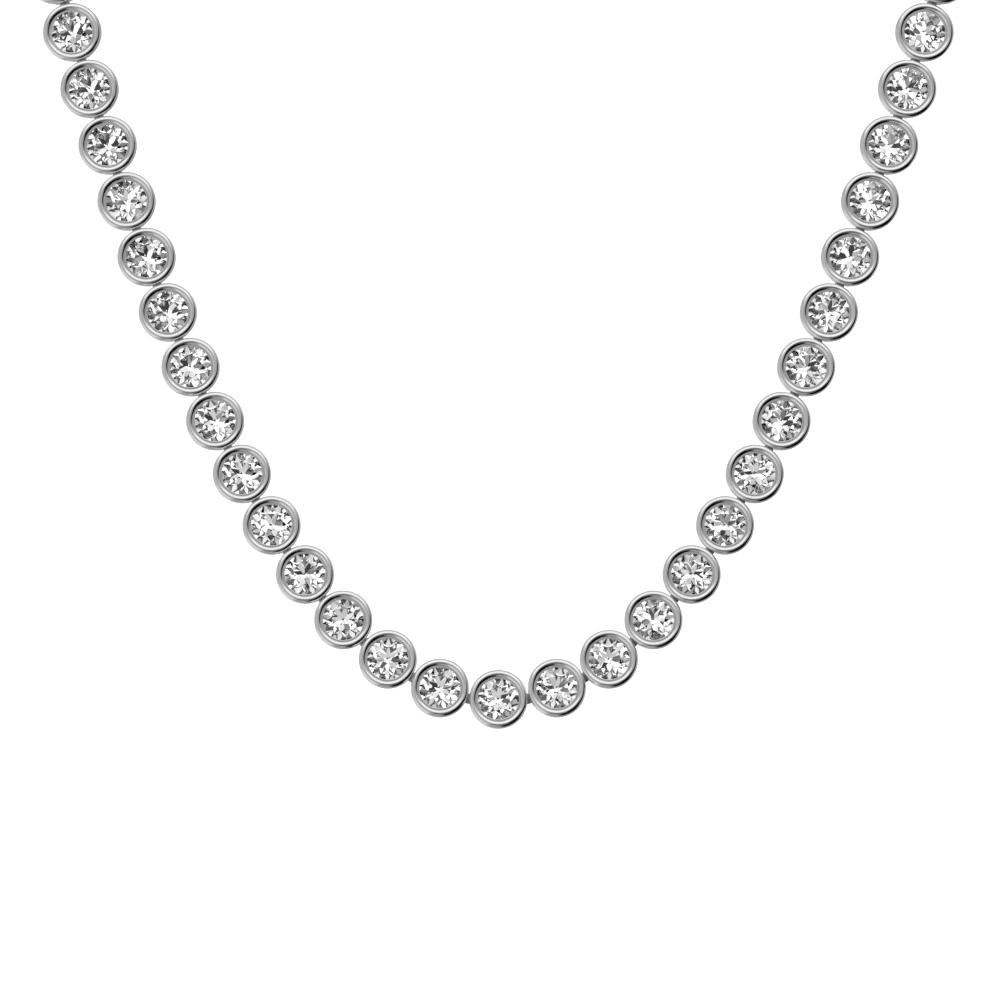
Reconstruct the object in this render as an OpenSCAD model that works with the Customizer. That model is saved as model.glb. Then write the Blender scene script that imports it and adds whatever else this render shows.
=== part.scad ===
// Line necklace of equal round brilliants in rubbed-over settings, as it hangs when worn.
// Millimetres. +Z is up, the front faces -Y, and the two halves mirror each other in X = 0.
// The origin is where the clasp's skin side rests on the nape.
// A setting's own frame has X along the chain, Z out of the stone's table, and its origin on the
// setting's axis at the level of the links.

/* [Chain] */
// Settings on each side of the lowest one
side_count = 32; // [31:1:33]
// Gap between neighbouring settings
setting_gap = 0.15; // [0.14:0.01:0.24]

/* [Drape] */
// Backward lean of the chest from vertical, in degrees
chest_lean = 20; // [16:1:24]
// Links on each side that lie on the flat of the chest
chest_links = 15; // [14:1:16]
// Roundness of the lowest bend: a larger number makes it wider
belly = 2.53; // [2.4:0.01:2.7]
// Outward flare of the two arms
flare = 0.115; // [0.105:0.005:0.125]
// Outward turn of the settings at the top of the chest, in degrees
arm_turn = 5; // [3:1:8]
// How early the climb over the shoulder levels off
level_off = 2; // [1.8:0.1:2.2]
// Upward tilt of the settings on the shoulder, in degrees
shoulder_tilt = 38; // [34:1:42]
// Upward tilt of the settings at the nape, in degrees
nape_tilt = 22; // [18:1:26]

/* [Stone] */
// Diameter of a stone
stone_d = 4.6; // [4.5:0.02:4.62]
// Radius of the table's corners, as a share of the stone's radius
table_share = 0.54; // [0.52:0.01:0.6]
// Slope of the crown's kites, in degrees
crown_angle = 35; // [33:0.5:36]
// Slope of the pavilion's mains, in degrees
pavilion_angle = 40.5; // [40:0.1:41.4]
// Height of the girdle
girdle_h = 0.12; // [0.08:0.01:0.14]

/* [Setting] */
// Outer diameter of a setting
bezel_d = 6.04; // [6:0.01:6.1]
// Radius of the lip's outer rounding
lip_outer_r = 0.36; // [0.32:0.01:0.37]
// Radius of the lip's inner rounding
lip_inner_r = 0.4; // [0.36:0.01:0.44]
// Width of the lip's inner rounding, from its crest to the opening
lip_inner_w = 0.31; // [0.26:0.01:0.32]
// Height of the lip above the links
lip_z = 2.6; // [2.55:0.01:2.7]
// Height of the girdle's lower edge above the links
girdle_z = 1.63; // [1.6:0.01:1.66]
// Depth of the open back below the links
back_depth = 0.7; // [0.68:0.01:0.9]
// Diameter of the base
base_d = 3.8; // [3.7:0.02:3.8]
// Diameter of the open back
back_d = 2.6; // [2.5:0.02:2.7]

/* [Links] */
// Width of a link's strap
strap_w = 1; // [0.9:0.02:1]
// Thickness of a link's strap
strap_t = 0.26; // [0.22:0.01:0.27]
// Thickness of a lug
lug_t = 0.3; // [0.26:0.01:0.32]
// Width of a lug
lug_w = 1.9; // [1.86:0.02:2]

/* [Clasp] */
// Length of the clasp's box
clasp_l = 10; // [8:0.5:12]
// Width of the clasp's box
clasp_w = 4.6; // [4:0.1:5]
// Thickness of the clasp's box
clasp_t = 2.4; // [2:0.1:2.8]

/* [Hidden] */
$fn = 64;

// Stone
stone_r = stone_d / 2;
table_r = stone_r * table_share;
table_flat_r = table_r * cos(22.5);
crown_h = (stone_r - table_r) * tan(crown_angle);
star_r = (table_flat_r + stone_r) / 2;
star_z = crown_h - (star_r * cos(22.5) - table_r) * tan(crown_angle);
pavilion_h = stone_r * tan(pavilion_angle);
// Radius of the lower facets' inner corners, as a share of the stone's radius
lower_share = 0.33;
lower_r = stone_r * lower_share;
lower_z = (stone_r - lower_r * cos(22.5)) * tan(pavilion_angle);
// Turn of each stone's mains off the line of the chain
stone_turn = 12;

// Setting
bezel_r = bezel_d / 2;
base_r = base_d / 2;
back_r = back_d / 2;
crest_r = bezel_r - lip_outer_r;
opening_r = crest_r - lip_inner_w;
// The stone is loose in its cup by these gaps round its girdle, under it and over it
girdle_gap = 0.1;
seat_gap = 0.14;
crown_gap = 0.28;
cup_r = stone_r + girdle_gap;
// The rim over the girdle: how far it reaches in, its edge's height, and the width of its flat top
rim_grip = 0.17;
rim_edge = 0.08;
rim_land = 0.2;
rim_r = stone_r - rim_grip;
rim_low_z = girdle_z + girdle_h + crown_gap;
rim_top_z = rim_low_z + rim_edge;
// The wall's lower edge, over the links
shoulder_z = 0.8;
shoulder_bevel = 0.27;

// Lugs and links
pitch = bezel_d + setting_gap;
slot_mid = 2.2;
slot_l = 0.88;
slot_play = 0.15;
slot_w = strap_w + 2 * slot_play;
lug_setback = 0.08;
lug_end_r = bezel_r - lug_setback;
link_play = 0.23;
link_inner_h = lug_t + 2 * link_play;
link_half = pitch / 2 - slot_mid + strap_t / 2;

// Clasp
clasp_corner_r = 1.1;
clasp_step = 0.35;
clasp_plate_t = 0.25;
clasp_slot_x = clasp_l / 2 + slot_l / 2;
clasp_lug_x = clasp_slot_x + lug_end_r - slot_mid;
// The chain's last point, where one more setting's axis would be
chain_end_x = clasp_slot_x - slot_mid;

// Vectors
function unit(v) = v / norm(v);
function square_to(v, axis) = unit(v - (v * axis) * axis);
function compass(azimuth, elevation) =
    [cos(elevation) * cos(azimuth), cos(elevation) * sin(azimuth), sin(elevation)];

// Direction of the chain on the chest, s links away from the lowest setting
function chest_way(s) =
    let (rise = atan2(s, belly + flare * s))
    [cos(rise), sin(rise) * sin(chest_lean), sin(rise) * cos(chest_lean)];
leave = chest_way(chest_links);
leave_azimuth = atan2(leave.y, leave.x);
leave_elevation = asin(leave.z);

// Share of the way round the neck, from the top of the chest to the clasp
function neck_share(s) = min(1, (s - chest_links) / (side_count + 1 - chest_links));
function neck_way(s, hook) =
    let (left = 1 - neck_share(s))
    compass(leave_azimuth + (180 - leave_azimuth) * (1 - pow(left, hook)),
        leave_elevation * pow(left, level_off));
function way(s, hook) = s <= chest_links ? chest_way(s) : neck_way(s, hook);

// Axis points of the settings on the right, and one more at the clasp
function walk(hook) =
    [for (n = 0, at = [0, 0, 0]; n <= side_count + 1; at = at + pitch * way(n + 0.5, hook), n = n + 1)
        at];
// The turn round the neck that brings the chain's end to the clasp, by halving the interval
function fit_hook(low, high, tries) =
    let (middle = (low + high) / 2)
    tries == 0 ? middle
    : walk(middle)[side_count + 1].x > chain_end_x ? fit_hook(middle, high, tries - 1)
    : fit_hook(low, middle, tries - 1);
hook = fit_hook(0.5, 3, 30);
route = walk(hook);

// Direction along the chain and out of the stone at setting n
function along(n) = n == 0 ? [1, 0, 0] : unit(way(n - 0.5, hook) + way(n + 0.5, hook));
function soft_step(share) = share * share * (3 - 2 * share);
function outward(n) =
    n <= chest_links
    ? compass(arm_turn * pow(n / chest_links, 2) - 90, chest_lean)
    : let (share = neck_share(n), hump = 4 * share * (1 - share))
    compass(arm_turn - 90 + (180 - arm_turn) * soft_step(share),
        chest_lean + (nape_tilt - chest_lean) * share
        + (shoulder_tilt - (chest_lean + nape_tilt) / 2) * hump);
function facing(n) = square_to(outward(n), along(n));

// The clasp lies across the nape, with its skin side's middle at the origin
clasp_way = [-1, 0, 0];
clasp_facing = compass(90, nape_tilt);
chain_end = route[side_count + 1];
clasp_at = [0, chain_end.y, chain_end.z];
origin_at = clasp_at - back_depth * clasp_facing;

// Places the children at a point, with X along way and Z along out
module stand(at, way, out) {
    side = cross(out, way);
    multmatrix([
        [way.x, side.x, out.x, at.x - origin_at.x],
        [way.y, side.y, out.y, at.y - origin_at.y],
        [way.z, side.z, out.z, at.z - origin_at.z],
        [0, 0, 0, 1]])
        children();
}

module at_setting(n) {
    stand(route[n], along(n), facing(n)) children();
}

// Middle of the slot in the lug of setting n that looks towards the clasp, side = 1, or away, -1
function slot_at(n, side) =
    n <= side_count ? route[n] + side * slot_mid * along(n)
    : clasp_at - clasp_slot_x * clasp_way;
function out_at(n) = n <= side_count ? facing(n) : clasp_facing;

// Link between setting n and the next one towards the clasp
module at_link(n) {
    from = slot_at(n, 1);
    to = slot_at(n + 1, -1);
    stand((from + to) / 2, unit(to - from), square_to(out_at(n) + out_at(n + 1), unit(to - from)))
        children();
}

// Round brilliant, its girdle's lower edge at z = 0
function ring(count, radius, height, phase) =
    [for (i = [0 : count - 1])
        [radius * cos(phase + i * 360 / count), radius * sin(phase + i * 360 / count), height]];

module brilliant() {
    points = concat(
        ring(8, table_r, girdle_h + crown_h, 0),
        ring(8, star_r, girdle_h + star_z, 22.5),
        ring(16, stone_r, girdle_h, 0),
        ring(16, stone_r, 0, 0),
        ring(8, lower_r, -lower_z, 22.5),
        [[0, 0, -pavilion_h]]);
    table = 0;
    star = 8;
    upper = 16;
    lower = 32;
    main = 48;
    culet = 56;
    faces = concat(
        [[for (i = [7 : -1 : 0]) table + i]],
        [for (i = [0 : 7]) [table + i, table + (i + 1) % 8, star + i]],
        [for (i = [0 : 7]) [table + i, star + i, upper + 2 * i, star + (i + 7) % 8]],
        [for (i = [0 : 7]) [star + i, upper + 2 * i + 1, upper + 2 * i]],
        [for (i = [0 : 7]) [star + i, upper + (2 * i + 2) % 16, upper + 2 * i + 1]],
        [for (i = [0 : 15]) [upper + i, upper + (i + 1) % 16, lower + (i + 1) % 16, lower + i]],
        [for (i = [0 : 7]) [main + i, lower + 2 * i, lower + 2 * i + 1]],
        [for (i = [0 : 7]) [main + i, lower + 2 * i + 1, lower + (2 * i + 2) % 16]],
        [for (i = [0 : 7]) [culet, main + (i + 7) % 8, lower + 2 * i, main + i]]);
    polyhedron(points, faces);
}

module quarter_disc(radius) {
    intersection() {
        circle(radius);
        square(radius);
    }
}

// Half section of the cup: open back, base, shoulder, wall, rim over the girdle, seat
module cup_section() {
    seat_drop = seat_gap / cos(pavilion_angle);
    seat_top_z = girdle_z + girdle_gap * tan(pavilion_angle) - seat_drop;
    seat_low_z = girdle_z - (stone_r - back_r) * tan(pavilion_angle) - seat_drop;
    polygon([
        [back_r, -back_depth],
        [base_r, -back_depth],
        [base_r, shoulder_z],
        [bezel_r - shoulder_bevel, shoulder_z],
        [bezel_r, shoulder_z + shoulder_bevel],
        [bezel_r, lip_z - lip_outer_r],
        [crest_r, lip_z - lip_outer_r],
        [crest_r, lip_z - lip_inner_r],
        [opening_r, lip_z - lip_inner_r],
        [rim_r + rim_land, rim_top_z],
        [rim_r, rim_top_z],
        [rim_r, rim_low_z],
        [cup_r, rim_low_z],
        [cup_r, seat_top_z],
        [back_r, seat_low_z]]);
    translate([crest_r, lip_z - lip_outer_r]) quarter_disc(lip_outer_r);
    translate([crest_r, lip_z - lip_inner_r])
        mirror([1, 0])
            intersection() {
                quarter_disc(lip_inner_r);
                square([lip_inner_w, lip_inner_r]);
            }
}

module slots(middle) {
    for (side = [-1, 1])
        translate([side * middle, 0]) square([slot_l, slot_w], center = true);
}

// Both lugs of a setting, cut from one plate that ends under the wall
module lugs() {
    translate([0, 0, -lug_t / 2])
        linear_extrude(lug_t)
            difference() {
                intersection() {
                    circle(lug_end_r);
                    square([2 * lug_end_r, lug_w], center = true);
                }
                slots(slot_mid);
                circle((back_r + base_r) / 2);
            }
}

module setting() {
    rotate_extrude() cup_section();
    lugs();
}

module oblong(length, height) {
    square([length - height, height], center = true);
    for (side = [-1, 1])
        translate([side * (length - height) / 2, 0]) circle(height / 2);
}

// Strap bent to an oval ring, its opening along Y
module link() {
    outer_h = link_inner_h + 2 * strap_t;
    rotate([90, 0, 0])
        linear_extrude(strap_w, center = true)
            difference() {
                oblong(2 * link_half, outer_h);
                oblong(2 * (link_half - strap_t), link_inner_h);
            }
}

module rounded_plate(length, width, radius) {
    square([length - 2 * radius, width], center = true);
    square([length, width - 2 * radius], center = true);
    for (x = [-1, 1], y = [-1, 1])
        translate([x * (length / 2 - radius), y * (width / 2 - radius)]) circle(radius);
}

module settings(first) {
    color("silver")
        for (n = [first : side_count])
            at_setting(n) setting();
}

module stones(first) {
    color("white")
        for (n = [first : side_count])
            at_setting(n)
                translate([0, 0, girdle_z])
                    rotate(stone_turn)
                        brilliant();
}

module links() {
    color("gainsboro")
        for (n = [0 : side_count])
            at_link(n) link();
}

// Box clasp with a raised plate, and a slotted lug at each end
module clasp() {
    color("silver")
        stand(clasp_at, clasp_way, clasp_facing) {
            translate([0, 0, -back_depth])
                linear_extrude(clasp_t)
                    rounded_plate(clasp_l, clasp_w, clasp_corner_r);
            translate([0, 0, -back_depth])
                linear_extrude(clasp_t + clasp_plate_t)
                    rounded_plate(clasp_l - 2 * clasp_step, clasp_w - 2 * clasp_step,
                        clasp_corner_r - clasp_step);
            translate([0, 0, -lug_t / 2])
                linear_extrude(lug_t)
                    difference() {
                        square([2 * clasp_lug_x, lug_w], center = true);
                        slots(clasp_slot_x);
                    }
        }
}

mirror([1, 0, 0]) settings(0);  // settings_left
settings(1);  // settings_right
mirror([1, 0, 0]) stones(0);  // stones_left
stones(1);  // stones_right
mirror([1, 0, 0]) links();  // links_left
links();  // links_right
clasp();
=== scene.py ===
"""Line necklace of round brilliants in rubbed-over settings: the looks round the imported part.

Lengths are in millimetres until a mesh is made, and angles in degrees. The chain's values and its
route are those of the part's source. A setting's own frame has X along the chain, Z out of the
stone's table, and its origin on the setting's axis at the level of the links.
"""

import math

import bmesh
import bpy
import numpy as np
from mathutils import Matrix, Vector


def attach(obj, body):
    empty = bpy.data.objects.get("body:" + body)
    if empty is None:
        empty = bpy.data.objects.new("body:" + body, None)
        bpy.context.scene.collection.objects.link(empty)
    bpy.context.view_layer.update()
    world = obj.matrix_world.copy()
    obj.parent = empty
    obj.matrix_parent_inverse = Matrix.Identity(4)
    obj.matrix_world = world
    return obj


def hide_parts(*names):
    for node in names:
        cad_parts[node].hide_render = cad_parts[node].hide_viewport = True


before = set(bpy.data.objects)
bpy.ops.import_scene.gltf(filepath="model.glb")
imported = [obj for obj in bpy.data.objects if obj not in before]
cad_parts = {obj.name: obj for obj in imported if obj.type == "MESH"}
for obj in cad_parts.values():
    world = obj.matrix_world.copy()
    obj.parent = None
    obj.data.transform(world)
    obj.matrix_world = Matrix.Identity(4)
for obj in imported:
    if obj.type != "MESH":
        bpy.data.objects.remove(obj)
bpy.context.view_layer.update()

MM = 0.001

# Chain and drape
SIDE_COUNT = 32
CHEST_LEAN = 20
CHEST_LINKS = 15
BELLY = 2.53
FLARE = 0.115
ARM_TURN = 5
LEVEL_OFF = 2
SHOULDER_TILT = 38
NAPE_TILT = 22

# Stone
STONE_R = 2.3
TABLE_R = STONE_R * 0.54
CROWN_ANGLE = 35
PAVILION_ANGLE = 40.5
GIRDLE_H = 0.12
LOWER_R = STONE_R * 0.33
STAR_SHARE = 0.5
STONE_TURN = 12
KITE_TURN = 45
HALF_TURN = KITE_TURN / 2

# Setting
BEZEL_R = 3.02
LIP_OUTER_R = 0.36
LIP_INNER_R = 0.4
LIP_INNER_W = 0.31
LIP_Z = 2.6
GIRDLE_Z = 1.63
BACK_DEPTH = 0.7
BASE_R = 1.9
BACK_R = 1.3
SHOULDER_Z = 0.8
SHOULDER_BEVEL = 0.27
GIRDLE_GAP = 0.1
SEAT_GAP = 0.14
CROWN_GAP = 0.28
RIM_GRIP = 0.17
RIM_EDGE = 0.08
RIM_LAND = 0.2
RIM_ROUNDING = 0.03
EDGE_R = 0.05

# Lugs and links
PITCH = 2 * BEZEL_R + 0.15
SLOT_MID = 2.2
SLOT_L = 0.88
SLOT_W = 1.3
LUG_T = 0.3
LUG_W = 1.9
LUG_END_R = BEZEL_R - 0.08
LUG_ROOT_R = 1.6
LUG_EDGE = 0.06
SLOT_CORNER_R = 0.12
STRAP_W = 1
STRAP_T = 0.26
STRAP_EDGE = 0.08
LINK_INNER_H = 0.76
LINK_HALF = PITCH / 2 - SLOT_MID + STRAP_T / 2

# Clasp
CLASP_L = 10
CLASP_W = 4.6
CLASP_T = 2.4
CLASP_CORNER_R = 1.1
CLASP_STEP = 0.35
CLASP_PLATE_T = 0.25
CLASP_SLOT_X = CLASP_L / 2 + SLOT_L / 2
CLASP_LUG_X = CLASP_SLOT_X + LUG_END_R - SLOT_MID
CHAIN_END_X = CLASP_SLOT_X - SLOT_MID

# View. The picture has PICTURE pixels each way, each PIXEL wide on the necklace.
VIEW_ELEVATION = 15
VIEW_DISTANCE = 3
PICTURE = 1000
PIXEL = 0.1039
# Where the lowest lip stands in the picture, in pixels right of and under its middle
LOWEST_X = -1.65
LOWEST_Y = 198.7


def compass(azimuth, elevation):
    a, e = math.radians(azimuth), math.radians(elevation)
    return np.array([math.cos(e) * math.cos(a), math.cos(e) * math.sin(a), math.sin(e)])


def unit(v):
    return v / np.linalg.norm(v)


TOWARDS_CAMERA = compass(-90, VIEW_ELEVATION)
VIEW_RIGHT = np.array([1.0, 0.0, 0.0])
VIEW_UP = np.cross(TOWARDS_CAMERA, VIEW_RIGHT)


# Route of the chain


def chest_way(s):
    rise = math.atan2(s, BELLY + FLARE * s)
    lean = math.radians(CHEST_LEAN)
    return np.array(
        [math.cos(rise), math.sin(rise) * math.sin(lean), math.sin(rise) * math.cos(lean)]
    )


LEAVE = chest_way(CHEST_LINKS)
LEAVE_AZIMUTH = math.degrees(math.atan2(LEAVE[1], LEAVE[0]))
LEAVE_ELEVATION = math.degrees(math.asin(LEAVE[2]))


def neck_share(s):
    return min(1, (s - CHEST_LINKS) / (SIDE_COUNT + 1 - CHEST_LINKS))


def way(s, hook):
    if s <= CHEST_LINKS:
        return chest_way(s)
    left = 1 - neck_share(s)
    return compass(
        LEAVE_AZIMUTH + (180 - LEAVE_AZIMUTH) * (1 - left**hook),
        LEAVE_ELEVATION * left**LEVEL_OFF,
    )


def walk(hook):
    steps = [PITCH * way(n + 0.5, hook) for n in range(SIDE_COUNT + 1)]
    return np.vstack([np.zeros(3), np.cumsum(steps, axis=0)])


def fit_hook(low, high):
    for _ in range(30):
        middle = (low + high) / 2
        if walk(middle)[-1][0] > CHAIN_END_X:
            low = middle
        else:
            high = middle
    return (low + high) / 2


HOOK = fit_hook(0.5, 3)
ROUTE = walk(HOOK)


def along(n):
    return VIEW_RIGHT if n == 0 else unit(way(n - 0.5, HOOK) + way(n + 0.5, HOOK))


def square_to(v, axis):
    return unit(v - np.dot(v, axis) * axis)


def outward(n):
    if n <= CHEST_LINKS:
        return compass(ARM_TURN * (n / CHEST_LINKS) ** 2 - 90, CHEST_LEAN)
    share = neck_share(n)
    hump = 4 * share * (1 - share)
    return compass(
        ARM_TURN - 90 + (180 - ARM_TURN) * share * share * (3 - 2 * share),
        CHEST_LEAN
        + (NAPE_TILT - CHEST_LEAN) * share
        + (SHOULDER_TILT - (CHEST_LEAN + NAPE_TILT) / 2) * hump,
    )


def facing(n):
    return square_to(outward(n), along(n))


CLASP_WAY = np.array([-1.0, 0.0, 0.0])
CLASP_FACING = compass(90, NAPE_TILT)
CLASP_AT = np.array([0.0, ROUTE[-1][1], ROUTE[-1][2]])
ORIGIN_AT = CLASP_AT - BACK_DEPTH * CLASP_FACING


def stand(at, direction, out):
    place = np.eye(4)
    place[:3, 0] = direction
    place[:3, 1] = np.cross(out, direction)
    place[:3, 2] = out
    place[:3, 3] = at - ORIGIN_AT
    return place


def setting_place(n):
    return stand(ROUTE[n], along(n), facing(n))


def slot_at(n, side):
    if n > SIDE_COUNT:
        return CLASP_AT - CLASP_SLOT_X * CLASP_WAY
    return ROUTE[n] + side * SLOT_MID * along(n)


def link_place(n):
    start, end = slot_at(n, 1), slot_at(n + 1, -1)
    direction = unit(end - start)
    next_out = facing(n + 1) if n < SIDE_COUNT else CLASP_FACING
    return stand((start + end) / 2, direction, square_to(facing(n) + next_out, direction))


def turn_z(degrees):
    return np.array(Matrix.Rotation(math.radians(degrees), 4, "Z"))


def shift_z(z):
    return np.array(Matrix.Translation((0, 0, z)))


# Mesh building. A shape is (points, faces, the material number of each face).


def joined(*shapes):
    points, faces, materials = [], [], []
    base = 0
    for shape_points, shape_faces, shape_materials in shapes:
        points.append(shape_points)
        faces += [[i + base for i in face] for face in shape_faces]
        materials += shape_materials
        base += len(shape_points)
    return np.vstack(points), faces, materials


def angles_between(start, end, steps):
    return np.radians(np.linspace(start, end, steps + 1))


def arc(x, y, radius, start, end, steps):
    return [
        (x + radius * math.cos(a), y + radius * math.sin(a))
        for a in angles_between(start, end, steps)
    ]


def rounded(corners, steps=3):
    """Closed outline through corners (x, y, radius), each rounded by its radius."""
    outline = []
    count = len(corners)
    for i, (x, y, radius) in enumerate(corners):
        here = np.array([x, y])
        before = unit(np.array(corners[i - 1][:2]) - here)
        after = unit(np.array(corners[(i + 1) % count][:2]) - here)
        if radius == 0:
            outline.append((x, y))
            continue
        half = math.acos(np.clip(np.dot(before, after), -1, 1)) / 2
        middle = here + unit(before + after) * radius / math.sin(half)
        first = here + before * radius / math.tan(half) - middle
        last = here + after * radius / math.tan(half) - middle
        start = math.degrees(math.atan2(first[1], first[0]))
        sweep = (math.degrees(math.atan2(last[1], last[0])) - start + 180) % 360 - 180
        outline += arc(middle[0], middle[1], radius, start, start + sweep, steps)
    return outline


def tube_faces(rows, columns):
    """Quads of a closed grid whose points run column by column within each row."""
    return [
        [
            r * columns + c,
            ((r + 1) % rows) * columns + c,
            ((r + 1) % rows) * columns + (c + 1) % columns,
            r * columns + (c + 1) % columns,
        ]
        for r in range(rows)
        for c in range(columns)
    ]


def turned(profile, segments, material_at):
    """Closed profile of (radius, z), anticlockwise, turned round Z."""
    points = [
        (radius * math.cos(a), radius * math.sin(a), z)
        for a in np.linspace(0, 2 * math.pi, segments, endpoint=False)
        for radius, z in profile
    ]
    rows, columns = segments, len(profile)
    materials = [material_at(profile[c], profile[(c + 1) % columns]) for c in range(columns)]
    return np.array(points), tube_faces(rows, columns), materials * rows


# The second number marks faces of rough satin metal whose darker base tone is painted shade, for
# the cups and the gaps between the settings.
POLISHED, PAINTED_SHADE_SATIN = 0, 1
SETTING_SEGMENTS = 48


def cup_profile():
    seat_drop = SEAT_GAP / math.cos(math.radians(PAVILION_ANGLE))
    slope = math.tan(math.radians(PAVILION_ANGLE))
    cup_r = STONE_R + GIRDLE_GAP
    rim_r = STONE_R - RIM_GRIP
    rim_low_z = GIRDLE_Z + GIRDLE_H + CROWN_GAP
    rim_top_z = rim_low_z + RIM_EDGE
    crest_r = BEZEL_R - LIP_OUTER_R
    opening_r = crest_r - LIP_INNER_W
    inner_arc = math.degrees(math.asin(LIP_INNER_W / LIP_INNER_R))
    lower = rounded(
        [
            (BACK_R, -BACK_DEPTH, EDGE_R),
            (BASE_R, -BACK_DEPTH, 2 * EDGE_R),
            (BASE_R, SHOULDER_Z, EDGE_R),
            (BEZEL_R - SHOULDER_BEVEL, SHOULDER_Z, 2 * EDGE_R),
            (BEZEL_R, SHOULDER_Z + SHOULDER_BEVEL, 2 * EDGE_R),
            (BEZEL_R, LIP_Z, 0),
            (BACK_R, LIP_Z, 0),
        ]
    )[:-2]
    lip = arc(crest_r, LIP_Z - LIP_OUTER_R, LIP_OUTER_R, 0, 90, 9)
    lip += arc(crest_r, LIP_Z - LIP_INNER_R, LIP_INNER_R, 90, 90 + inner_arc, 6)[1:]
    cup = rounded(
        [
            (rim_r + RIM_LAND, rim_top_z, 0),
            (rim_r + 1.5 * RIM_ROUNDING, rim_top_z, 0),
            (rim_r, rim_top_z, RIM_ROUNDING),
            (rim_r, rim_low_z, 0),
            (cup_r, rim_low_z, 0),
            (cup_r, GIRDLE_Z + GIRDLE_GAP * slope - seat_drop, 0),
            (BACK_R, GIRDLE_Z - (STONE_R - BACK_R) * slope - seat_drop, EDGE_R),
            (BACK_R, -BACK_DEPTH, 0),
            (opening_r, -BACK_DEPTH, 0),
            (opening_r, LIP_Z - LIP_INNER_R, 0),
        ],
        2,
    )[:-3]
    return lower + lip + cup, rim_low_z


def plate_with_slot(outer, inner, half_t, edge):
    """Flat plate between two outlines of as many points, its edges rounded."""
    stations = []
    for out, hole in zip(np.array(outer), np.array(inner)):
        width = np.linalg.norm(out - hole)
        section = rounded(
            [
                (0, -half_t, edge),
                (width, -half_t, edge),
                (width, half_t, edge),
                (0, half_t, edge),
            ],
            1,
        )
        stations += [(*(hole + (out - hole) * s / width), z) for s, z in section]
    columns = len(stations) // len(outer)
    faces = tube_faces(len(outer), columns)
    return np.array(stations), faces, [POLISHED] * len(faces)


def around(outline, middle, angles):
    """Points where rays from the middle cross a convex outline."""
    points = np.array(outline)
    following = np.roll(points, -1, axis=0)
    found = []
    for a in np.radians(angles):
        ray = np.array([math.cos(a), math.sin(a)])
        side = np.array([-ray[1], ray[0]])
        start, end = (points - middle) @ side, (following - middle) @ side
        # A side along the ray divides by zero, and is never the one that the ray crosses
        with np.errstate(divide="ignore", invalid="ignore"):
            share = start / (start - end)
            cross = points + share[:, None] * (following - points)
            ahead = (share >= 0) & (share <= 1) & ((cross - middle) @ ray > 0)
        found.append(cross[ahead][0])
    return found


def lug(root_x, slot_x, end_outline):
    """Slotted lug on the +X side. end_outline is its outer end, from -Y to +Y."""
    outer = [(root_x, -LUG_W / 2), *end_outline, (root_x, LUG_W / 2)]
    hole = rounded(
        [
            (slot_x - SLOT_L / 2, -SLOT_W / 2, SLOT_CORNER_R),
            (slot_x + SLOT_L / 2, -SLOT_W / 2, SLOT_CORNER_R),
            (slot_x + SLOT_L / 2, SLOT_W / 2, SLOT_CORNER_R),
            (slot_x - SLOT_L / 2, SLOT_W / 2, SLOT_CORNER_R),
        ]
    )
    middle = np.array([slot_x, 0.0])
    corners = np.degrees(
        [math.atan2(y, x - slot_x) for x, y in [*hole, *outer[:2], *outer[-2:]]]
    )
    angles = np.unique(np.round(np.concatenate([corners, np.arange(-180, 180, 30)]), 3))
    return plate_with_slot(
        around(outer, middle, angles), around(hole, middle, angles), LUG_T / 2, LUG_EDGE
    )


def flipped(shape):
    """The same shape turned half round Z."""
    points, faces, materials = shape
    return points * [-1, -1, 1], faces, materials


def setting():
    profile, rim_low_z = cup_profile()
    hair = 1e-6

    def material_at(a, b):
        """Satin, whose darker tone is painted shade, within the cup and on the base's underside;
        polished on the rest.
        """
        inner, outer, top = min(a[0], b[0]), max(a[0], b[0]), max(a[1], b[1])
        within = top <= rim_low_z + hair and outer < STONE_R + GIRDLE_GAP + hair
        on_base = inner >= BASE_R - hair and top < SHOULDER_Z + hair
        return PAINTED_SHADE_SATIN if within and not on_base else POLISHED

    cup = turned(profile, SETTING_SEGMENTS, material_at)
    reach = math.degrees(math.asin(LUG_W / 2 / LUG_END_R))
    end = arc(0, 0, LUG_END_R, -reach, reach, 8)
    right = lug(LUG_ROOT_R, SLOT_MID, end)
    return joined(cup, right, flipped(right))


FACET, GIRDLE = 0, 1
GIRDLE_SEGMENTS = 48


def on_circle(radius, azimuth, z):
    a = math.radians(azimuth)
    return np.array([radius * math.cos(a), radius * math.sin(a), z])


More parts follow.
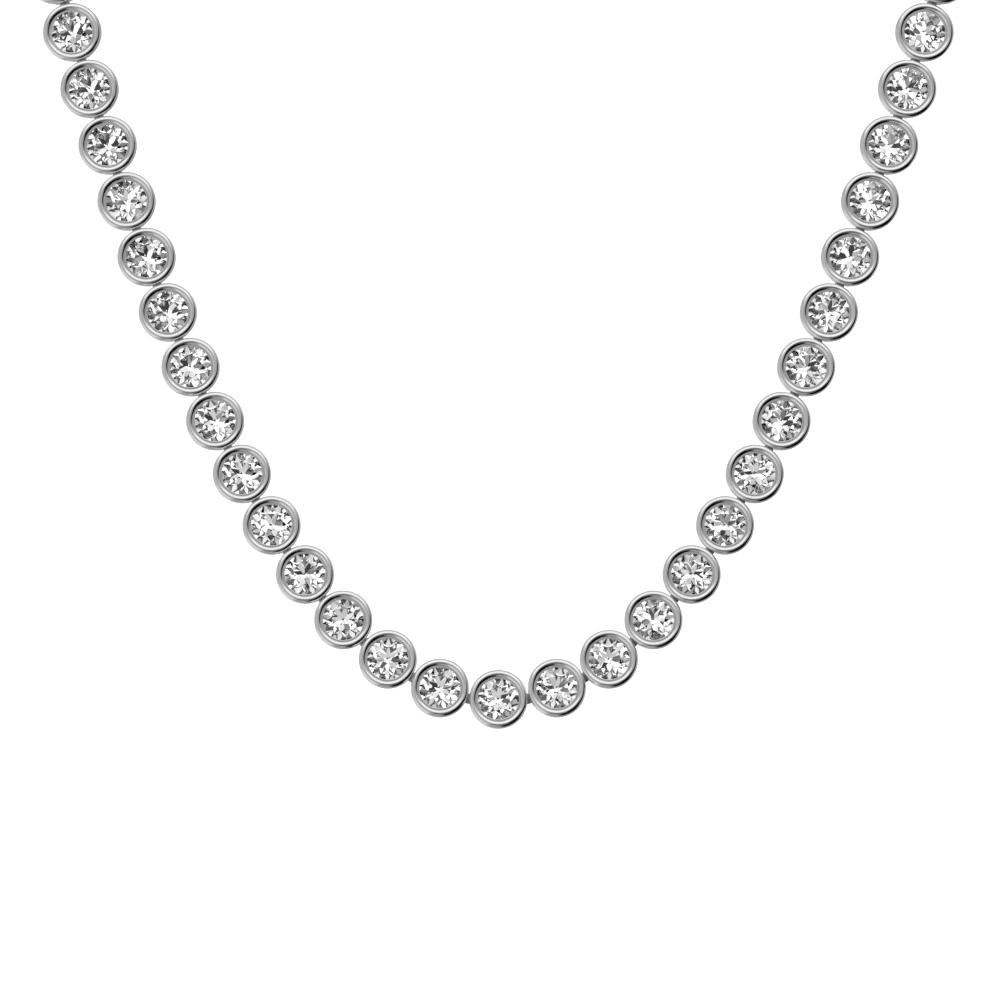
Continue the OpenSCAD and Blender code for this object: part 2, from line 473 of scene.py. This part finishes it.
def facet_planes(table_r, crown_angle, pavilion_angle, lower_r, star_share):
    """Facets of a round brilliant as (count, azimuth, slope, distance from the middle, side)."""
    crown_slope = math.tan(math.radians(crown_angle))
    pavilion_slope = math.tan(math.radians(pavilion_angle))
    inradius = math.cos(math.radians(HALF_TURN))
    table_z = GIRDLE_H + (STONE_R - table_r) * crown_slope
    star_r = table_r * inradius * (1 - star_share) + STONE_R * star_share
    star_z = table_z - (star_r * inradius - table_r) * crown_slope
    lower_z = -(STONE_R - lower_r * inradius) * pavilion_slope
    culet = np.array([0, 0, -STONE_R * pavilion_slope])
    star = on_circle(star_r, HALF_TURN, star_z)
    rim = [on_circle(STONE_R, azimuth, GIRDLE_H) for azimuth in (0, HALF_TURN)]
    low_rim = [on_circle(STONE_R, azimuth, 0) for azimuth in (0, HALF_TURN)]
    main_end = on_circle(lower_r, HALF_TURN, lower_z)
    corners = [
        (1, [on_circle(table_r, azimuth, table_z) for azimuth in (0, KITE_TURN, 2 * KITE_TURN)], 1),
        (8, [rim[0], on_circle(table_r, 0, table_z), star], 1),
        (8, [on_circle(table_r, 0, table_z), on_circle(table_r, KITE_TURN, table_z), star], 1),
        (16, [star, rim[0], rim[1]], 1),
        (8, [culet, main_end, low_rim[0]], -1),
        (16, [main_end, low_rim[0], low_rim[1]], -1),
    ]
    planes = []
    for count, (p, q, r), side in corners:
        normal = unit(np.cross(q - p, r - p))
        normal = normal * side * np.sign(normal[2])
        azimuth = math.degrees(math.atan2(normal[1], normal[0])) if count > 1 else 0
        slope = math.degrees(math.acos(abs(normal[2])))
        planes.append((count, azimuth, slope, float(np.dot(normal, p)), side))
    return planes


# Corners closer than this become one
WELD = 0.003

# A cut's spread from stone to stone, and each facet's within a stone: turn, slope, depth
TABLE_SPREAD, CROWN_SPREAD, PAVILION_SPREAD = 0.01, 0.2, 0.12
LOWER_SPREAD, STAR_SPREAD = 0.04, 0.01
FACET_SPREAD = np.array([0.3, 0.1, 0.004])


def cut_stone(chance):
    """Round brilliant cut from a disc by one plane for each facet, as true as real ones are."""
    planes = facet_planes(
        TABLE_R * (1 + TABLE_SPREAD * chance.uniform(-1, 1)),
        CROWN_ANGLE + CROWN_SPREAD * chance.uniform(-1, 1),
        PAVILION_ANGLE + PAVILION_SPREAD * chance.uniform(-1, 1),
        LOWER_R * (1 + LOWER_SPREAD * chance.uniform(-1, 1)),
        STAR_SHARE + STAR_SPREAD * chance.uniform(-1, 1),
    )
    mesh = bmesh.new()
    bmesh.ops.create_cone(
        mesh, cap_ends=True, segments=GIRDLE_SEGMENTS, radius1=STONE_R, radius2=STONE_R,
        depth=3 * STONE_R,
    )
    for face in mesh.faces:
        face.material_index = GIRDLE
    for count, azimuth, slope, distance, side in planes:
        mirrored = count == 16
        for i in range(count):
            if mirrored:
                turn = (azimuth if i % 2 == 0 else -azimuth) + KITE_TURN * (i // 2)
            else:
                turn = azimuth + KITE_TURN * i
            # The table, the only facet of its kind, stays level
            off = chance.normal(size=3) * FACET_SPREAD * (count > 1)
            a, t = math.radians(turn + off[0]), math.radians(slope + off[1])
            reach = distance + off[2]
            normal = Vector(
                (math.sin(t) * math.cos(a), math.sin(t) * math.sin(a), side * math.cos(t))
            )
            everything = mesh.verts[:] + mesh.edges[:] + mesh.faces[:]
            cut = bmesh.ops.bisect_plane(
                mesh, geom=everything, dist=1e-5, plane_co=normal * reach, plane_no=normal,
                clear_outer=True,
            )
            edges = [e for e in cut["geom_cut"] if isinstance(e, bmesh.types.BMEdge)]
            for face in bmesh.ops.contextual_create(mesh, geom=edges)["faces"]:
                face.material_index = FACET
    bmesh.ops.remove_doubles(mesh, verts=mesh.verts[:], dist=WELD)
    bmesh.ops.recalc_face_normals(mesh, faces=mesh.faces[:])
    mesh.verts.index_update()
    points = np.array([v.co[:] for v in mesh.verts])
    faces = [[v.index for v in face.verts] for face in mesh.faces]
    materials = [face.material_index for face in mesh.faces]
    mesh.free()
    return points, faces, materials


def link():
    """Strap bent to an oval ring, its opening along Y."""
    turn_r = LINK_INNER_H / 2 + STRAP_T / 2
    run = LINK_HALF - STRAP_T / 2 - turn_r
    bends = 10
    middle_line = arc(run, 0, turn_r, -90, 90, bends) + arc(-run, 0, turn_r, 90, 270, bends)
    section = rounded(
        [
            (-STRAP_T / 2, -STRAP_W / 2, STRAP_EDGE),
            (STRAP_T / 2, -STRAP_W / 2, STRAP_EDGE),
            (STRAP_T / 2, STRAP_W / 2, STRAP_EDGE),
            (-STRAP_T / 2, STRAP_W / 2, STRAP_EDGE),
        ]
    )
    points = []
    for i, (x, z) in enumerate(middle_line):
        bend = run if i <= bends else -run
        outward_x, outward_z = (x - bend) / turn_r, z / turn_r
        points += [(x + outward_x * t, w, z + outward_z * t) for t, w in section]
    faces = tube_faces(len(middle_line), len(section))
    # The straps take the satin metal, whose darker base tone is painted shade for the gaps between
    # the settings.
    return np.array(points), faces, [PAINTED_SHADE_SATIN] * len(faces)


def clasp_outline(inset):
    half_l, half_w = CLASP_L / 2 - inset, CLASP_W / 2 - inset
    radius = CLASP_CORNER_R - inset
    return [
        point
        for x, y, start in ((1, 1, 0), (-1, 1, 90), (-1, -1, 180), (1, -1, 270))
        for point in arc(
            x * (half_l - radius), y * (half_w - radius), radius, start, start + 90, 10
        )
    ]


def clasp_levels():
    """The inset and the height of each outline of the clasp's box, from its skin side up."""
    edge, plate_edge = 0.18, 0.1
    groove_depth, groove_half = 0.07, 0.06
    groove_z = CLASP_T * 0.62 - BACK_DEPTH
    top = CLASP_T - BACK_DEPTH
    plate_top = top + CLASP_PLATE_T
    levels = [
        (edge * (1 - math.sin(a)), -BACK_DEPTH + edge * (1 - math.cos(a)))
        for a in angles_between(0, 90, 5)
    ]
    levels += [(0, groove_z - groove_half), (groove_depth, groove_z), (0, groove_z + groove_half)]
    levels += [
        (edge * (1 - math.cos(a)), top - edge * (1 - math.sin(a)))
        for a in angles_between(0, 90, 5)
    ]
    levels.append((CLASP_STEP, top))
    levels += [
        (CLASP_STEP + plate_edge * (1 - math.cos(a)), plate_top - plate_edge * (1 - math.sin(a)))
        for a in angles_between(0, 90, 4)
    ]
    return levels


def clasp():
    """Box with rounded edges, a fine groove round it and a raised plate, and a lug at each end."""
    levels = clasp_levels()
    outlines = [clasp_outline(inset) for inset, _ in levels]
    count = len(outlines[0])
    points = [(x, y, z) for (_, z), loop in zip(levels, outlines) for x, y in loop]
    faces = [
        [
            r * count + c,
            r * count + (c + 1) % count,
            (r + 1) * count + (c + 1) % count,
            (r + 1) * count + c,
        ]
        for r in range(len(levels) - 1)
        for c in range(count)
    ]
    last = (len(levels) - 1) * count
    faces.append(list(range(count))[::-1])
    faces.append([last + c for c in range(count)])
    box = (np.array(points), faces, [POLISHED] * len(faces))
    corner, lug_root = 0.15, 0.3
    end = arc(CLASP_LUG_X - corner, -LUG_W / 2 + corner, corner, -90, 0, 3)
    end += arc(CLASP_LUG_X - corner, LUG_W / 2 - corner, corner, 0, 90, 3)
    right = lug(CLASP_L / 2 - lug_root, CLASP_SLOT_X, end)
    return joined(box, right, flipped(right))


SHARP_ANGLE = 32


def piece(name, copies, materials, smooth):
    """One mesh of (shape, place) copies, with each copy's own coordinates and number on it."""
    moved, faces, face_materials, own, numbers = [], [], [], [], []
    base = 0
    for number, ((points, shape_faces, shape_materials), place) in enumerate(copies):
        moved.append(points @ place[:3, :3].T + place[:3, 3])
        order = -1 if np.linalg.det(place[:3, :3]) < 0 else 1
        faces += [[i + base for i in face[::order]] for face in shape_faces]
        face_materials += shape_materials
        own.append(points)
        numbers += [float(number)] * len(points)
        base += len(points)
    mesh = bpy.data.meshes.new(name)
    mesh.from_pydata(np.vstack(moved) * MM, [], faces)
    for material in materials:
        mesh.materials.append(material)
    mesh.polygons.foreach_set("material_index", face_materials)
    mesh.polygons.foreach_set("use_smooth", [smooth] * len(faces))
    place_on_copy = mesh.attributes.new("own", "FLOAT_VECTOR", "POINT")
    place_on_copy.data.foreach_set("vector", np.vstack(own).ravel())
    copy_number = mesh.attributes.new("number", "FLOAT", "POINT")
    copy_number.data.foreach_set("value", numbers)
    if smooth:
        mesh.set_sharp_from_angle(angle=math.radians(SHARP_ANGLE))
    mesh.validate()
    mesh.update()
    made = bpy.data.objects.new(name, mesh)
    bpy.context.scene.collection.objects.link(made)
    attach(made, "root")
    return made


# Materials


class Nodes:
    """A node tree of a material or world, with short ways to add and link nodes."""

    def __init__(self, owner):
        owner.use_nodes = True
        self.tree = owner.node_tree

    def add(self, kind, **settings):
        node = self.tree.nodes.new(kind)
        for key, value in settings.items():
            if key[0].isupper():
                self.put(value, node.inputs[key.replace("_", " ")])
            else:
                setattr(node, key, value)
        return node

    def put(self, value, socket):
        if isinstance(value, bpy.types.NodeSocket):
            self.tree.links.new(value, socket)
        else:
            socket.default_value = value

    def math(self, operation, *values):
        node = self.add("ShaderNodeMath", operation=operation)
        for value, socket in zip(values, node.inputs):
            self.put(value, socket)
        return node.outputs[0]

    def spread(self, value, low, high):
        """The value from low to high as 0 to 1, with soft ends."""
        node = self.add("ShaderNodeMapRange", From_Min=low, From_Max=high, Value=value)
        node.interpolation_type = "SMOOTHSTEP"
        return node.outputs[0]

    def dot(self, a, b):
        node = self.add("ShaderNodeVectorMath", operation="DOT_PRODUCT")
        self.put(a, node.inputs[0])
        self.put(tuple(b), node.inputs[1])
        return node.outputs["Value"]

    def mixed(self, share, low, high):
        node = self.add("ShaderNodeMix", data_type="FLOAT")
        self.put(share, node.inputs["Factor"])
        self.put(low, node.inputs[2])
        self.put(high, node.inputs[3])
        return node.outputs[0]

    def between(self, share, low, high):
        node = self.add("ShaderNodeMapRange", To_Min=low, To_Max=high, Value=share)
        return node.outputs[0]


def own_place(nodes, spacing):
    """Coordinates on one copy, moved apart so that no two copies look alike."""
    own = nodes.add("ShaderNodeAttribute", attribute_name="own").outputs["Vector"]
    number = nodes.add("ShaderNodeAttribute", attribute_name="number").outputs["Fac"]
    away = nodes.math("MULTIPLY", number, spacing)
    offset = nodes.add("ShaderNodeCombineXYZ", X=away, Y=away).outputs[0]
    moved = nodes.add("ShaderNodeVectorMath", operation="ADD")
    nodes.put(own, moved.inputs[0])
    nodes.put(offset, moved.inputs[1])
    return moved.outputs[0], number


def grey(level, blue=0.0):
    return level, level, level + blue, 1


def metal(name, low_roughness, high_roughness, wave, low_tone, high_tone):
    """White metal with faint polishing marks. Its pattern is in millimetres of each copy."""
    material = bpy.data.materials.new(name)
    nodes = Nodes(material)
    shader = nodes.tree.nodes["Principled BSDF"]
    place, _ = own_place(nodes, spacing=7.3)
    cloud = nodes.add("ShaderNodeTexNoise", Vector=place, Scale=1.3, Detail=3.0).outputs["Fac"]
    grain = nodes.add("ShaderNodeTexNoise", Vector=place, Scale=14.0, Detail=4.0).outputs["Fac"]
    stretched = nodes.add("ShaderNodeMapping", Vector=place, Scale=(3.0, 26.0, 9.0))
    marks = nodes.add(
        "ShaderNodeTexNoise", Vector=stretched.outputs[0], Scale=1.0, Detail=5.0
    ).outputs["Fac"]
    rough = nodes.math(
        "ADD", nodes.math("MULTIPLY", cloud, 0.6), nodes.math("MULTIPLY", grain, 0.4)
    )
    nodes.put(
        nodes.between(nodes.spread(rough, 0.35, 0.65), low_roughness, high_roughness),
        shader.inputs["Roughness"],
    )
    tone = nodes.add("ShaderNodeMix", data_type="RGBA")
    nodes.put(nodes.spread(cloud, 0.3, 0.7), tone.inputs["Factor"])
    nodes.put(grey(low_tone, 0.01), tone.inputs[6])
    nodes.put(grey(high_tone, 0.005), tone.inputs[7])
    nodes.put(tone.outputs[2], shader.inputs["Base Color"])
    height = nodes.math("ADD", nodes.math("MULTIPLY", marks, 0.3), cloud)
    bump = nodes.add("ShaderNodeBump", Strength=wave, Distance=0.00002, Height=height)
    nodes.put(bump.outputs[0], shader.inputs["Normal"])
    shader.inputs["Metallic"].default_value = 1
    return material


def stone(name, low_roughness, high_roughness):
    """Clear faceted stone; each copy has its own faint tint, and its polish its own faint marks."""
    material = bpy.data.materials.new(name)
    nodes = Nodes(material)
    shader = nodes.tree.nodes["Principled BSDF"]
    place, number = own_place(nodes, spacing=5.1)
    tint = nodes.add("ShaderNodeTexWhiteNoise", noise_dimensions="1D", W=number).outputs["Value"]
    tone = nodes.add("ShaderNodeMix", data_type="RGBA")
    nodes.put(tint, tone.inputs["Factor"])
    nodes.put(grey(0.985), tone.inputs[6])
    nodes.put(grey(1.0), tone.inputs[7])
    nodes.put(tone.outputs[2], shader.inputs["Base Color"])
    haze = nodes.add("ShaderNodeTexNoise", Vector=place, Scale=2.2, Detail=4.0).outputs["Fac"]
    nodes.put(
        nodes.between(nodes.spread(haze, 0.5, 0.8), low_roughness, high_roughness),
        shader.inputs["Roughness"],
    )
    shader.inputs["Transmission Weight"].default_value = 1
    shader.inputs["IOR"].default_value = 2.4
    # The faces mirror a little less than such an index would, as on a coated lens
    shader.inputs["Specular Tint"].default_value = grey(0.6)
    return material


POLISH = metal("metal_polished", 0.04, 0.1, 0.12, 0.89, 0.925)
# Satin metal is rougher than the polished metal. Its darker base tone, 0.48 to 0.58 against the
# polished 0.89 to 0.925, is painted shade for the cups and the gaps between the settings.
SATIN_AND_PAINTED_SHADE_METAL = metal("metal_satin_and_painted_shade", 0.38, 0.52, 0.4, 0.48, 0.58)
FACETS = stone("stone_facets", 0.0, 0.02)
BRUTED = stone("stone_girdle", 0.3, 0.45)


# The necklace

# Each stone lies in its seat a little out of true, within its gaps
SEAT_TILT = 0.5


def stones(side, first):
    copies = []
    for n in range(first, SIDE_COUNT + 1):
        chance = np.random.default_rng(1000 * (side + 2) + n)
        lean = [SEAT_TILT * chance.uniform(-1, 1) for _ in range(2)]
        tilt = np.array(
            Matrix.Rotation(math.radians(lean[0]), 4, "X")
            @ Matrix.Rotation(math.radians(lean[1]), 4, "Y")
        )
        place = setting_place(n) @ shift_z(GIRDLE_Z) @ tilt @ turn_z(STONE_TURN)
        copies.append((cut_stone(chance), half(side) @ place))
    return copies


def half(side):
    """The right half stands as it is, and the left half is its mirror image."""
    return np.diag([float(side), 1, 1, 1])


def row(shape, side, place, first):
    return [(shape, half(side) @ place(n)) for n in range(first, SIDE_COUNT + 1)]


setting_shape, link_shape = setting(), link()
METALS, STONES = [POLISH, SATIN_AND_PAINTED_SHADE_METAL], [FACETS, BRUTED]
PIECES = [
    ("box_clasp", "clasp", "metal", [(clasp(), stand(CLASP_AT, CLASP_WAY, CLASP_FACING))]),
]
for side, word, first in ((-1, "left", 0), (1, "right", 1)):
    PIECES += [
        (f"bezels_{word}", f"settings_{word}", "metal",
         row(setting_shape, side, setting_place, first)),
        (f"brilliants_{word}", f"stones_{word}", "stone", stones(side, first)),
        (f"straps_{word}", f"links_{word}", "metal", row(link_shape, side, link_place, 0)),
    ]
for name, node, slot, copies in PIECES:
    made = piece(name, copies, METALS if slot == "metal" else STONES, slot == "metal")
    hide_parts(node)


# Camera

camera = bpy.data.objects.new("camera", bpy.data.cameras.new("camera"))
bpy.context.scene.collection.objects.link(camera)
bpy.context.scene.camera = camera
lowest_lip = setting_place(0) @ np.array([0, 0, LIP_Z, 1])
aim = lowest_lip[:3] + PIXEL * (LOWEST_Y * VIEW_UP - LOWEST_X * VIEW_RIGHT)
camera.location = Vector(aim * MM + TOWARDS_CAMERA * VIEW_DISTANCE)
camera.rotation_mode = "QUATERNION"
camera.rotation_quaternion = Vector(-TOWARDS_CAMERA).to_track_quat("-Z", "Y")
camera.data.lens = camera.data.sensor_width * VIEW_DISTANCE / (PICTURE * PIXEL * MM)
camera.data.clip_start, camera.data.clip_end = 0.01, 100


# Floor and light

FLOOR_Z = -0.3
FLOOR_HALF = 6
floor_mesh = bpy.data.meshes.new("floor")
floor_corners = [
    (x * FLOOR_HALF, y * FLOOR_HALF, FLOOR_Z) for x, y in ((-1, -1), (1, -1), (1, 1), (-1, 1))
]
floor_mesh.from_pydata(floor_corners, [], [[0, 1, 2, 3]])
floor = bpy.data.objects.new("floor", floor_mesh)
bpy.context.scene.collection.objects.link(floor)
floor.visible_glossy = False
floor.visible_transmission = False
paper = bpy.data.materials.new("floor_paper")
paper_nodes = Nodes(paper)
paper_shader = paper_nodes.tree.nodes["Principled BSDF"]
fibre = paper_nodes.add("ShaderNodeTexNoise", Scale=60.0, Detail=6.0).outputs["Fac"]
paper_tone = paper_nodes.add("ShaderNodeMix", data_type="RGBA")
paper_nodes.put(fibre, paper_tone.inputs["Factor"])
paper_nodes.put(grey(0.93), paper_tone.inputs[6])
paper_nodes.put(grey(0.96), paper_tone.inputs[7])
paper_nodes.put(paper_tone.outputs[2], paper_shader.inputs["Base Color"])
paper_shader.inputs["Roughness"].default_value = 0.9
paper_shader.inputs["Emission Color"].default_value = (1, 1, 1, 1)
paper_shader.inputs["Emission Strength"].default_value = 0.25
floor_mesh.materials.append(paper)


# A tent is a bare light with panels, each over the ones before it. A panel is the clock hour of its
# middle in the picture, half its width in hours where it is full and where it ends, the angles off
# the way to the camera where it begins, is full, is full no more and ends, and its light. The metal
# mirrors the first tent, and the second one lights the stones from within.
METAL_BASE = 0.45
METAL_TENT = [
    (0, 6, 7, (120, 150, 181, 182), 0.3),
    (7.5, 0.7, 1.7, (25, 50, 170, 180), 0.7),
    (9, 0.3, 0.9, (15, 35, 170, 180), 0.5),
    (11.9, 1.3, 2, (12, 26, 50, 120), 1),
    (6, 0.6, 1.1, (25, 45, 150, 180), 0.36),
    (3.2, 0.5, 1.4, (22, 40, 65, 100), 0.05),
    (4, 0.5, 1.1, (8, 18, 62, 100), 0),
    (5, 0.5, 1.1, (8, 18, 95, 135), 0),
    (0, 6, 7, (-2, -1, 11, 14), 0.34),
    (2.6, 1.2, 2, (3.5, 5.5, 8, 10.5), 0.06),
    (5.9, 0.6, 1.3, (3, 6, 24, 50), 0.11),
]
STONE_TENT = [
    (0, 0.5, 1, (11.5, 13, 28, 33), 1.95),
    (0, 1.2, 1.8, (36, 40, 80, 90), 1.3),
    (3, 0.7, 1.2, (11, 13, 18, 21), 1.6),
    (9, 0.8, 1.3, (11, 13, 18, 21), 1.6),
    (2.4, 0.8, 1.4, (40, 43, 58, 62), 1.6),
    (8.9, 1.4, 1.9, (40, 43, 58, 62), 1.45),
    (1.3, 0.4, 0.8, (18, 20, 31, 34), 0),
    (10.6, 0.4, 0.8, (18, 20, 30, 33), 0),
    (8.4, 0.4, 0.9, (18, 20, 29, 32), 0),
    (3.9, 0.5, 0.9, (17, 20, 34, 38), 0),
    (6, 1.3, 1.8, (15, 16.5, 19.5, 21), 0),
    (6, 1, 1.5, (4, 6, 14, 15.5), 1.35),
    (6.1, 1.1, 1.6, (20, 21, 29, 32), 1.6),
    (4.9, 1.5, 2.1, (38, 43, 181, 182), 0),
    (0.85, 0.3, 0.5, (7, 8, 11.5, 12.5), 0),
    (11.2, 0.3, 0.6, (7, 8, 11.5, 12.5), 0),
    (8.6, 0.2, 0.4, (5, 6, 11.5, 12.5), 0),
    (2.2, 0.4, 0.7, (7, 8, 11.5, 12.5), 1.35),
    (4, 0.2, 0.3, (7, 8, 11.5, 12.5), 1.35),
    (8, 0.2, 0.3, (7, 8, 11.5, 12.5), 1.35),
]

# The stones' bare light, and then the share that all their light has, drift with direction, so
# that no two facets show one flat tone: the noise's scale, and the low and the high level
BASE_DRIFT = (8.0, 0.02, 0.6)
GLOW_DRIFT = (14.0, 0.7, 1.2)
# The noise, from 0 to 1, where the drift is at its low and at its high level
DRIFT_LOW, DRIFT_HIGH = 0.4, 0.6

# Staggered cards over the far half of the stones' tent, for the stones that look away from the
# camera: where they begin and are full, in degrees off the way to it, and the pattern's pitch
FAR_BEGIN, FAR_FULL = 100, 110
CARD_HOURS = 2
CARD_DEGREES = 40
CARD_LEVEL = 1.8
# The pattern's wave, from -1 to 1, where a card begins and where it is full
CARD_BEGIN, CARD_FULL = 0.05, 0.2


def hang_tent(metal_tent, stone_tent):
    world = bpy.data.worlds.new("tent")
    bpy.context.scene.world = world
    tent = Nodes(world)
    background = tent.tree.nodes["Background"]
    direction = tent.add("ShaderNodeTexCoord").outputs["Generated"]
    right, up = tent.dot(direction, VIEW_RIGHT), tent.dot(direction, VIEW_UP)
    clock = tent.math("MULTIPLY", tent.math("ARCTAN2", right, up), 6 / math.pi)
    cosine = tent.dot(direction, TOWARDS_CAMERA)
    off = tent.math("MULTIPLY", tent.math("ARCCOSINE", cosine), 180 / math.pi)

    def panels(listed, light):
        """The light with the listed panels over it."""
        for hour, full, end, (begin, rise, fall, stop), level in listed:
            near = tent.math("WRAP", clock, hour + 6, hour - 6)
            away = tent.math("ABSOLUTE", tent.math("SUBTRACT", near, hour))
            share = tent.spread(away, end, full)
            share = tent.math("MULTIPLY", share, tent.spread(off, begin, rise))
            share = tent.math("MULTIPLY", share, tent.spread(off, stop, fall))
            light = tent.mixed(share, light, level)
        return light

    def drift(scale, low, high):
        noise = tent.add("ShaderNodeTexNoise", Vector=direction, Scale=scale, Detail=1.0)
        wave = tent.spread(noise.outputs["Fac"], DRIFT_LOW, DRIFT_HIGH)
        return tent.between(wave, low, high)

    def far_cards(light):
        """The light with the far cards over it."""
        columns = tent.math("SINE", tent.math("MULTIPLY", clock, 2 * math.pi / CARD_HOURS))
        rows = tent.math("SINE", tent.math("MULTIPLY", off, 2 * math.pi / CARD_DEGREES))
        share = tent.spread(tent.math("MULTIPLY", columns, rows), CARD_BEGIN, CARD_FULL)
        share = tent.math("MULTIPLY", share, tent.spread(off, FAR_BEGIN, FAR_FULL))
        return tent.mixed(share, light, CARD_LEVEL)

    path = tent.add("ShaderNodeLightPath")
    light = tent.mixed(path.outputs["Is Glossy Ray"], 1.0, panels(metal_tent, METAL_BASE))
    stone_light = far_cards(panels(stone_tent, drift(*BASE_DRIFT)))
    stone_light = tent.math("MULTIPLY", stone_light, drift(*GLOW_DRIFT))
    light = tent.mixed(path.outputs["Is Transmission Ray"], light, stone_light)
    tent.put(light, background.inputs["Strength"])
    background.inputs["Color"].default_value = grey(1.0)


hang_tent(METAL_TENT, STONE_TENT)

scene = bpy.context.scene
scene.view_settings.view_transform = "Standard"
scene.cycles.use_denoising = True
scene.cycles.max_bounces = 32
scene.cycles.glossy_bounces = 24
scene.cycles.transmission_bounces = 24
scene.cycles.caustics_reflective = True
scene.cycles.caustics_refractive = True
